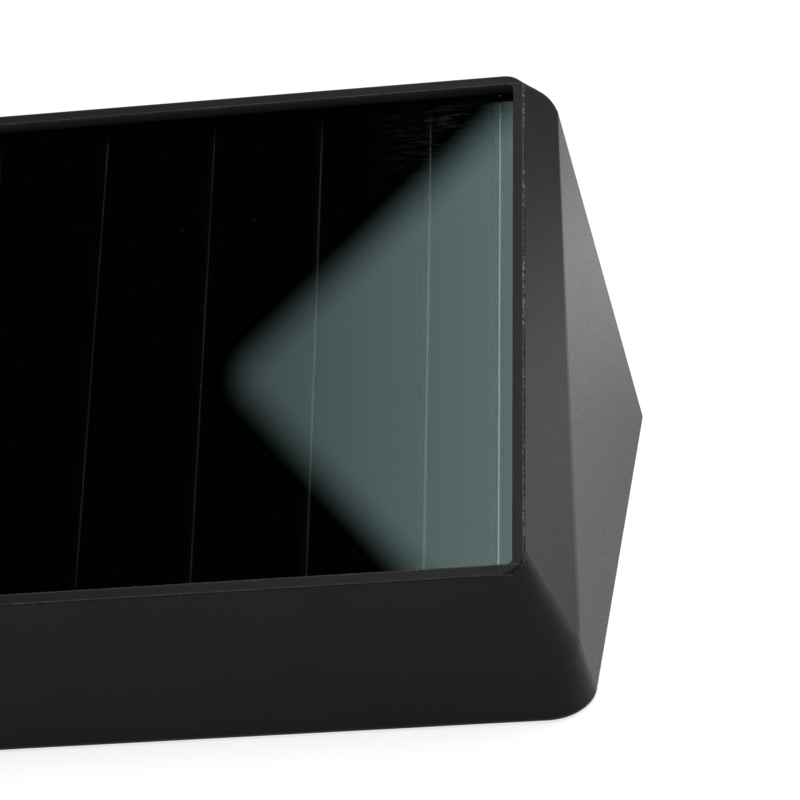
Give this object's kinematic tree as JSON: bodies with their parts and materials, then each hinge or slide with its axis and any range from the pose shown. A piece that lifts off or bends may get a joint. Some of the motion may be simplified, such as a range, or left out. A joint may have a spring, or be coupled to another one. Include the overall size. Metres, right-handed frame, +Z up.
{
  "type": "solar fence light",
  "caption": "Wedge-shaped solar light that hangs on a fence: sloping thin-film panel in a black housing, frosted lens and push button in the base.",
  "frame": {"origin": "on the fence face, halfway along the length, at the height of the keyhole slots' top ends, where the hanging screws sit", "axes": "+X along the length, to the right seen from the front; +Y into the fence; +Z up"},
  "size_m": [0.1114, 0.0477, 0.0389],
  "materials": {
    "black_abs": "fine spark-eroded grain",
    "black_cover": "satin moulded",
    "black_rubber": "matt",
    "screw_steel": "zinc plated",
    "panel_glass": "smooth float glass",
    "thin_film": "dark amorphous film",
    "tinned_ribbon": "tinned copper",
    "backing_sheet": "brown back coating",
    "clear_sealant": "silicone",
    "red_lead": "insulation",
    "black_lead": "insulation",
    "frosted_lens": "frosted polycarbonate",
    "white_reflector": "white",
    "circuit_board": "white solder mask",
    "lamp_chip": "phosphor",
    "chip_epoxy": "moulded epoxy",
    "ferrite": "ferrite",
    "ceramic_parts": "ceramic with tinned ends",
    "cell_sleeve": "shrink sleeve",
    "holder_plastic": "moulded",
    "nickel_plate": "nickel plated",
    "switch_plastic": "moulded",
    "button_rubber": "satin",
    "plunger_plastic": "acetal",
    "spring_steel": "drawn wire"
  },
  "bodies": {
    "lamp": {"housing": "black_abs", "rear_cover": "black_cover", "rear_gasket": "black_rubber", "cover_screws": "screw_steel", "solar_glass": "panel_glass", "solar_cells": "thin_film", "panel_ribbons": "tinned_ribbon", "cell_backing": "backing_sheet", "panel_sealant": "clear_sealant", "panel_lead_positive": "red_lead", "panel_lead_negative": "black_lead", "diffuser": "frosted_lens", "diffuser_gasket": "black_rubber", "reflector": "white_reflector", "led_board": "circuit_board", "led_chips": "lamp_chip", "control_chip": "chip_epoxy", "inductor": "ferrite", "small_parts": "ceramic_parts", "board_screws": "screw_steel", "battery_cell": "cell_sleeve", "battery_holder": "holder_plastic", "negative_contact": "nickel_plate", "positive_contact": "nickel_plate", "contact_spring": "nickel_plate", "battery_lead_positive": "red_lead", "battery_lead_negative": "black_lead", "switch_body": "switch_plastic", "switch_spring": "spring_steel", "button_seal": "black_rubber"},
    "push_button": {"switch_button": "button_rubber", "switch_plunger": "plunger_plastic"}
  },
  "joints": [
    {"name": "button_press", "type": "slide", "parent": "lamp", "child": "push_button", "axis": [0, 0, 1], "range_m": [0, 0.001], "stiffness_N_per_m": 800, "springref_m": -0.0005, "deforming": ["switch_spring"]}
  ]
}
